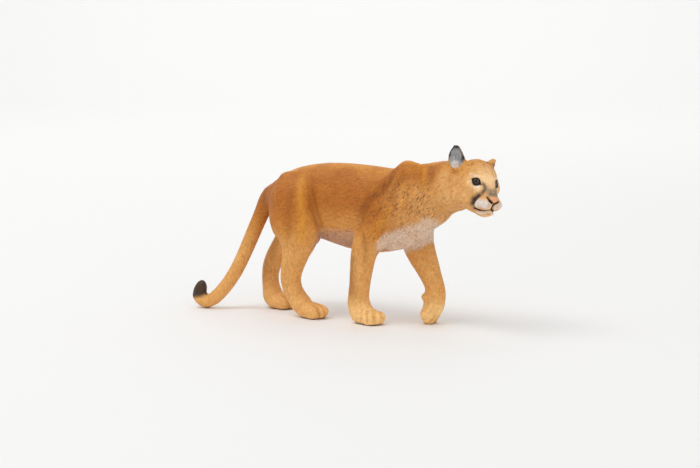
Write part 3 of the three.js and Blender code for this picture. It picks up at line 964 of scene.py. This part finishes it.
@dataclass(frozen=True)
class Ear:
    """The paint of one ear: blue-grey in the cup, a dark rim, and pale tufts at its foot."""

    middle: tuple[float, float, float]
    faces: tuple[float, float, float]
    half_width: float
    half_height: float
    turned: float

    def paint(self, coat: Coat) -> None:
        """Paints the ear.

        Args:
            coat: The paint so far.
        """
        local = HEAD.into(coat.clay.points) - self.middle
        faces = np.array(self.faces) / np.linalg.norm(self.faces)
        side = np.cross((0, 0, 1), faces)
        side /= np.linalg.norm(side)
        across, height = local @ side / self.half_width, local @ np.cross(faces, side) / self.half_height
        rim = np.hypot(across, height)
        facing = coat.clay.normals @ HEAD.axes.T @ faces
        near = np.abs(local @ faces)
        inside = smooth_step(self.turned, self.turned + 0.3, facing)
        inside *= smooth_step(1.12, 0.95, rim) * (near < 3.5)
        fleck = mottle(coat.clay.points, 0.9, 3.0)
        coat.lay(Paint.EAR_BLUE, 0.95 * inside)
        coat.lay(Paint.PINK_WHITE, 0.5 * inside * smooth_step(0.05, 0.5, fleck) * smooth_step(0.8, 0.4, rim))
        border = smooth_step(0.55, 0.95, rim + 0.2 * fleck) * smooth_step(-0.55, -0.1, height)
        coat.lay(Paint.EAR_DARK, 0.95 * inside * border)
        foot = smooth_step(-0.25, -0.6, height) * smooth_step(0.75, 0.3, np.abs(across))
        coat.lay(Paint.PINK_WHITE, 0.75 * inside * foot)
        edge = smooth_step(0.82, 0.95, rim) * smooth_step(1.35, 1.2, rim) * smooth_step(-0.3, 0.2, height)
        coat.lay(Paint.EAR_DARK, 0.85 * edge * smooth_step(-0.3, 0.1, facing) * (near < 3.0))


EARS = (
    Ear((-8.8, -7.9, 6.8), (0.52, -0.85, -0.1), 3.0, 3.7, 0.1),
    Ear((-7.2, 5.4, 6.4), (0.3, 0.9, 0.1), 2.8, 3.2, 0.6),
)


@dataclass
class Skin:
    """The whole moulding: trunk, head, ears, legs, paws and tail in one continuous skin."""

    voxel: float = 0.62
    overlap: float = 0.24
    melting: int = 22
    shrink: float = 0.10
    sockets: tuple[EyeSocket, EyeSocket] = (EyeSocket(1), EyeSocket(-1))

    def cast(self) -> Clay:
        """Fuses copies of the flesh nodes into one closed surface.

        Returns:
            The surface, ready to be shaped.
        """
        copies = []
        for name in FLESH:
            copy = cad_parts[name].copy()
            copy.data = copy.data.copy()
            bpy.context.collection.objects.link(copy)
            select_only(copy)
            bpy.ops.object.mode_set(mode="EDIT")
            bpy.ops.mesh.select_all(action="SELECT")
            bpy.ops.mesh.remove_doubles(threshold=1e-6)
            bpy.ops.object.mode_set(mode="OBJECT")
            finish_modifier(copy, "DISPLACE", strength=self.overlap * MM, mid_level=0.0)
            copies.append(copy)
        bpy.ops.object.select_all(action="DESELECT")
        for copy in copies:
            copy.select_set(True)
        bpy.context.view_layer.objects.active = copies[0]
        bpy.ops.object.join()
        skin = copies[0]
        skin.name = "painted_skin"
        skin.data.name = "painted_skin"
        skin.parent = None
        skin.matrix_world = Matrix.Identity(4)
        skin.data.materials.clear()
        finish_modifier(skin, "REMESH", mode="VOXEL", voxel_size=self.voxel * MM, use_smooth_shade=True)
        return Clay(skin)

    def build(self, finish: bpy.types.Material) -> bpy.types.Object:
        """Casts, shapes and paints the skin.

        Args:
            finish: The painted PVC.

        Returns:
            The finished piece.
        """
        clay = self.cast()
        self.smooth(clay)
        clay.press(BODY_SHAPE)
        near_face = np.linalg.norm(HEAD.into(clay.points) - [3.5, 0, -4.0], axis=1) < 9.5
        for socket in self.sockets:
            near_face |= np.linalg.norm(clay.points - socket.centre(), axis=1) < 4.2
        clay.refine(near_face)
        clay.relax(near_face * 0.7, 5)
        clay.press(FACE_SHAPE)
        for socket in self.sockets:
            socket.open(clay)
        clay.press(TOES + TOE_GAPS)
        clay.points[:, 2] = np.maximum(clay.points[:, 2], 0)
        clay.write()
        log.info("skin has %d vertices", len(clay.points))
        self.paint(clay)
        self.comb(clay)
        clay.obj.data.materials.append(finish)
        select_only(clay.obj)
        bpy.ops.object.shade_smooth()
        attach(clay.obj, "root")
        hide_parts(*[name for name in FLESH if not name.startswith("eye")])
        return clay.obj

    def smooth(self, clay: Clay) -> None:
        """Melts the joins between the fused nodes, and divides the head and paws more finely.

        Args:
            clay: The skin that is shaped.
        """
        head, paws = self.head_share(clay), self.paw_share(clay)
        clay.relax(np.clip(1 - 0.8 * head - 0.75 * paws, 0, 1), self.melting)
        clay.points -= clay.normals * self.shrink
        clay.write()
        clay.refine((head > 0.5) | (self.paw_share(clay) > 0.5))
        clay.relax(self.head_share(clay) * 0.6, 5)

    @staticmethod
    def head_share(clay: Clay) -> np.ndarray:
        """Finds the head.

        Args:
            clay: The skin.

        Returns:
            1 on the head and ears and 0 on the rest, with a soft border in the neck.
        """
        local = HEAD.into(clay.points)
        ears = smooth_step(4.0, 5.0, local[:, 2]) * (np.abs(local[:, 1]) < 14) * (local[:, 0] > -15)
        return np.maximum(smooth_step(-14.5, -10.5, local[:, 0]), ears) * (clay.points[:, 2] > 36)

    @staticmethod
    def paw_share(clay: Clay) -> np.ndarray:
        """Gives 1 on the paws and 0 on the rest."""
        return smooth_step(10.5, 7.5, clay.points[:, 2]) * (clay.points[:, 0] > -45)

    def paint(self, clay: Clay) -> None:
        """Paints the markings and the painted light and shade, from the base tan to the black lines of the
        face.

        Args:
            clay: The shaped skin.
        """
        coat = Coat(clay)
        x, _, z = clay.points.T
        up = clay.normals[:, 2]
        patch = mottle(clay.points, 7.0)
        head = self.head_share(clay)
        body = 1 - head
        high = smooth_step(28, 42, z) * body
        fore = smooth_step(15, 30, x) * smooth_step(54, 47, z)
        # Rust on the flanks, deepest on the sides that face away from the top light:
        # reddish paint with painted shade. Gold along the back where the surface faces up: painted light.
        # Then paler paint down the legs to the paws.
        coat.lay(Paint.RUST, 0.85 * high * smooth_step(1.05, 0.55, up + 0.3 * patch) * (1 - 0.9 * fore))
        coat.lay(Paint.GOLD, 0.55 * body * smooth_step(0.75, 1.0, up + 0.25 * patch) * smooth_step(48, 54, z))
        coat.lay(Paint.ORANGE, 0.85 * smooth_step(36, 18, z))
        flank = smooth_step(43, 35, z) * smooth_step(-15, -7, x) * smooth_step(14, 7, x)
        coat.lay(Paint.ORANGE, 0.45 * flank)
        # Pale paint on the paws, nearly whole on the front ones and a quarter on the hind ones: the hind paws
        # are kept darker as painted shade.
        coat.lay(Paint.PAW, (0.25 + 0.7 * (x > 0)) * smooth_step(12, 3, z) * (x > -45))
        coat.lay(Paint.SAND, 0.2 * smooth_step(34, 24, z))
        neck = smooth_step(18, 31, x) * smooth_step(55, 45, z) * smooth_step(30, 34, z)
        coat.lay(Paint.SAND, 0.5 * body * neck)
        # Painted shade in the hollows.
        coat.brush(Paint.DEEP_BROWN, SHADE_STROKES)
        # Painted highlights on the crests.
        coat.brush(Paint.GOLD, HIGHLIGHT_STROKES)
        # Painted shade in the gaps between the toes.
        coat.brush(Paint.DEEP_BROWN, [replace(gap, lift=0.3) for gap in TOE_GAPS])
        self.paint_under(coat)
        self.paint_head(coat, head)
        # Dark brown on the undersides of the paws at the floor: painted contact shade.
        coat.lay(Paint.SOLE, 0.85 * smooth_step(0.75, 0.2, z) * smooth_step(-0.2, -0.7, up))
        coat.lay(Paint.TAIL_TIP, 0.97 * self.tail_tip(clay))
        coat.save("paint")

    @staticmethod
    def tail_tip(clay: Clay) -> np.ndarray:
        """Finds the dark end of the tail, which curls up from the floor.

        Args:
            clay: The skin.

        Returns:
            1 on it and 0 on the rest.
        """
        x, _, z = clay.points.T
        border = 3.5 + 0.28 * (x + 62.5)
        edge = smooth_step(-0.7, 0.9, z - border + 0.35 * mottle(clay.points, 1.0))
        return edge * smooth_step(14, 12, z) * smooth_step(-56.2, -57.2, x)

    @staticmethod
    def paint_under(coat: Coat) -> None:
        """Paints the pale belly, darkened underneath with painted shade, and the chest.

        Args:
            coat: The paint so far.
        """
        x, y, z = coat.clay.points.T
        up = coat.clay.normals[:, 2]
        patch = mottle(coat.clay.points, 3.0, 5.0)
        belly = smooth_step(34.5, 30.5, z + 1.2 * patch) * smooth_step(25, 27, z) * (np.abs(y) < 9.5)
        # The belly's pale paint, darker where the surface faces down: painted shade.
        coat.lay(Paint.BELLY, 0.85 * belly * smooth_step(-22, -12, x) * smooth_step(0.3, -0.1, up))
        edge = np.minimum(31.5 + 0.42 * (x - 17.0), 38.6) + 0.8 * patch
        sole = 24.0 + 0.45 * (x - 19.0) + 0.5 * patch
        chest = smooth_step(edge + 1.5, edge - 1.5, z) * smooth_step(sole - 1.2, sole + 1.2, z)
        chest *= smooth_step(15.5, 19, x) * smooth_step(38.2, 36.0, x)
        coat.lay(Paint.CHEST, 0.92 * chest * (np.abs(y) < 11.5))

    def paint_head(self, coat: Coat, head: np.ndarray) -> None:
        """Paints the face and the ears.

        Args:
            coat: The paint so far.
            head: How much each vertex belongs to the head.
        """
        local = HEAD.into(coat.clay.points)
        patch = mottle(coat.clay.points, 1.6, 9.0)
        high = smooth_step(36, 44, coat.clay.points[:, 2])
        coat.lay(Paint.ORANGE, 0.8 * smooth_step(-17, -7, local[:, 0]) * high)
        coat.lay(Paint.SAND, 0.5 * head * smooth_step(-16, -9, local[:, 0]) * smooth_step(3, -1, local[:, 2]))
        front = head * smooth_step(-4.5, 1.5, local[:, 0] + 0.5 * patch)
        coat.lay(Paint.CREAM, 0.85 * front * smooth_step(-3.5, 0.5, local[:, 2] + patch))
        coat.lay(Paint.RUST, 0.35 * head * smooth_step(0.05, 0.4, patch) * smooth_step(3.2, 5.5, local[:, 2]))
        coat.brush(Paint.CREAM, FACE_CREAM)
        coat.brush(Paint.PINK_WHITE, FACE_WHITE)
        coat.brush(Paint.GREY, FACE_GREY)
        coat.brush(Paint.GREY_BROWN, FACE_SMUDGE)
        coat.brush(Paint.PINK_WHITE, FACE_PAD)
        coat.brush(Paint.SALMON, FACE_NOSE)
        coat.brush(Paint.BLACK, FACE_LINES)
        for socket in self.sockets:
            outside, near = socket.almond(coat.clay.points)
            coat.lay(Paint.BLACK, near * smooth_step(0.34, 0.2, outside))
        for ear in EARS:
            ear.paint(coat)

    def comb(self, clay: Clay) -> None:
        """Lays down how deep the fur's grooves are, how much wash they hold and which way they lie.

        Args:
            clay: The painted skin.
        """
        x, y, z = clay.points.T
        local = HEAD.into(clay.points)
        head = self.head_share(clay)
        face_share = smooth_step(-4, 1, local[:, 0]) * head
        mane = smooth_step(6, 20, x) * smooth_step(24, 30, z) * (1 - head) * smooth_step(58, 48, z)
        under = smooth_step(34.5, 31, z) * smooth_step(25, 27, z) * smooth_step(-22, -14, x) * (1 - mane)
        under *= smooth_step(9.8, 8.6, np.abs(y))
        depth = (0.35 + 0.85 * mane + 0.45 * under) * (1 - head) + 0.9 * head
        depth *= (1 - 0.75 * face_share) * (1 - 0.6 * smooth_step(10, 5, z))
        wash = (0.35 + 0.65 * mane + 0.5 * under) * (1 - head) + 0.7 * head
        wash *= (1 - 0.65 * face_share) * (1 - 0.6 * smooth_step(12, 5, z))
        self.save_shares(clay, "fur", wash, depth, np.zeros_like(wash))
        legs = smooth_step(33, 26, z) * (1 - head)
        chest = smooth_step(41, 34, z) * smooth_step(14, 20, x) * (1 - legs)
        self.save_shares(clay, "grain", legs, np.maximum(mane, 0.8 * head), chest * 0.8)

    @staticmethod
    def save_shares(clay: Clay, name: str, red: np.ndarray, green: np.ndarray, blue: np.ndarray) -> None:
        """Keeps three shares on the mesh as one attribute, with 1 for the fourth."""
        layer = clay.obj.data.color_attributes.new(name=name, type="FLOAT_COLOR", domain="POINT")
        layer.data.foreach_set("color", np.stack([red, green, blue, np.ones_like(red)], axis=1).ravel())


@dataclass
class Studio:
    """The pale floor, the soft lights and the camera at the photograph's angle."""

    azimuth: float = 32.0
    elevation: float = 7.0
    distance: float = 600.0
    lens: float = 86.4
    target: tuple[float, float, float] = (-0.5, 0.1, 30.5)

    def build(self) -> None:
        """Sets up the floor, the lights and the camera."""
        self.sweep()
        self.light("key", (-0.3, -0.5, 1.1), 0.7, 5.4)
        self.light("fill", (0.9, -0.6, 0.5), 0.9, 1.8)
        self.light("backdrop", (-0.5, 0.8, 1.9), 1.6, 18.0, (-1.3, 2.1, 0.9))
        world = bpy.data.worlds.new("studio")
        bpy.context.scene.world = world
        world.use_nodes = True
        background = world.node_tree.nodes["Background"]
        background.inputs["Color"].default_value = (1, 1, 1, 1)
        background.inputs["Strength"].default_value = 0.64
        bpy.context.scene.view_settings.view_transform = "Standard"
        self.camera()

    def sweep(self) -> bpy.types.Object:
        """Makes the paper sweep: a floor that curves up into a wall behind the figurine.

        Returns:
            The sweep.
        """
        bend = [math.radians(a) for a in range(0, 91, 6)]
        profile = [(-2.5, 0.0)] + [(1.5 + math.sin(a), 1.0 - math.cos(a)) for a in bend] + [(2.5, 3.0)]
        turn = math.radians(self.azimuth)
        behind = Vector((-math.sin(turn), math.cos(turn), 0))
        across = Vector((math.cos(turn), math.sin(turn), 0))
        spine = [behind * away + Vector((0, 0, up)) for away, up in profile]
        corners = [point + across * side for point in spine for side in (-4, 4)]
        faces = [(2 * i, 2 * i + 1, 2 * i + 3, 2 * i + 2) for i in range(len(profile) - 1)]
        mesh = bpy.data.meshes.new("studio_floor")
        mesh.from_pydata(corners, [], faces)
        mesh.materials.append(self.floor_finish())
        mesh.polygons.foreach_set("use_smooth", [True] * len(faces))
        floor = bpy.data.objects.new("studio_floor", mesh)
        bpy.context.collection.objects.link(floor)
        return floor

    @staticmethod
    def floor_finish() -> bpy.types.Material:
        """Makes the floor's matte white.

        Returns:
            The material.
        """
        material = bpy.data.materials.new("studio white")
        material.use_nodes = True
        shader = material.node_tree.nodes["Principled BSDF"]
        shader.inputs["Base Color"].default_value = (*linear("#F2F2F1"), 1)
        shader.inputs["Roughness"].default_value = 0.7
        return material

    @staticmethod
    def light(
        name: str,
        place: tuple[float, float, float],
        size: float,
        power: float,
        aim: tuple[float, float, float] = (0, 0, 0.03),
    ) -> None:
        """Adds a square soft light.

        Args:
            name: What the light is for.
            place: Where it stands, in metres.
            size: Its side in metres.
            power: Its power in watts.
            aim: What it faces, in metres: the figurine, if nothing else is given.
        """
        data = bpy.data.lights.new(name, "AREA")
        data.size = size
        data.energy = power
        lamp = bpy.data.objects.new(name, data)
        bpy.context.collection.objects.link(lamp)
        lamp.location = place
        lamp.rotation_euler = (Vector(aim) - Vector(place)).to_track_quat("-Z", "Y").to_euler()

    def camera(self) -> None:
        """Places the camera."""
        turn, lift = math.radians(self.azimuth), math.radians(self.elevation)
        back = Vector((math.sin(turn) * math.cos(lift), -math.cos(turn) * math.cos(lift), math.sin(lift)))
        data = bpy.data.cameras.new("photo")
        data.lens = self.lens
        data.clip_start = 0.01
        camera = bpy.data.objects.new("photo", data)
        bpy.context.collection.objects.link(camera)
        aim = Vector(self.target) * MM
        camera.location = aim + back * self.distance * MM
        camera.rotation_euler = (-back).to_track_quat("-Z", "Y").to_euler()
        bpy.context.scene.camera = camera


def main() -> None:
    """Builds the figurine and its studio."""
    logging.basicConfig(level=logging.INFO, format="%(message)s")
    skin = Skin()
    vinyl = PaintedVinyl().build()
    log.info("made %s", skin.build(vinyl).name)
    gloss = GlossPaint().build()
    for socket in skin.sockets:
        log.info("made %s", Eye(socket).build(gloss).name)
    Studio().build()


if __name__ == "__main__":
    main()
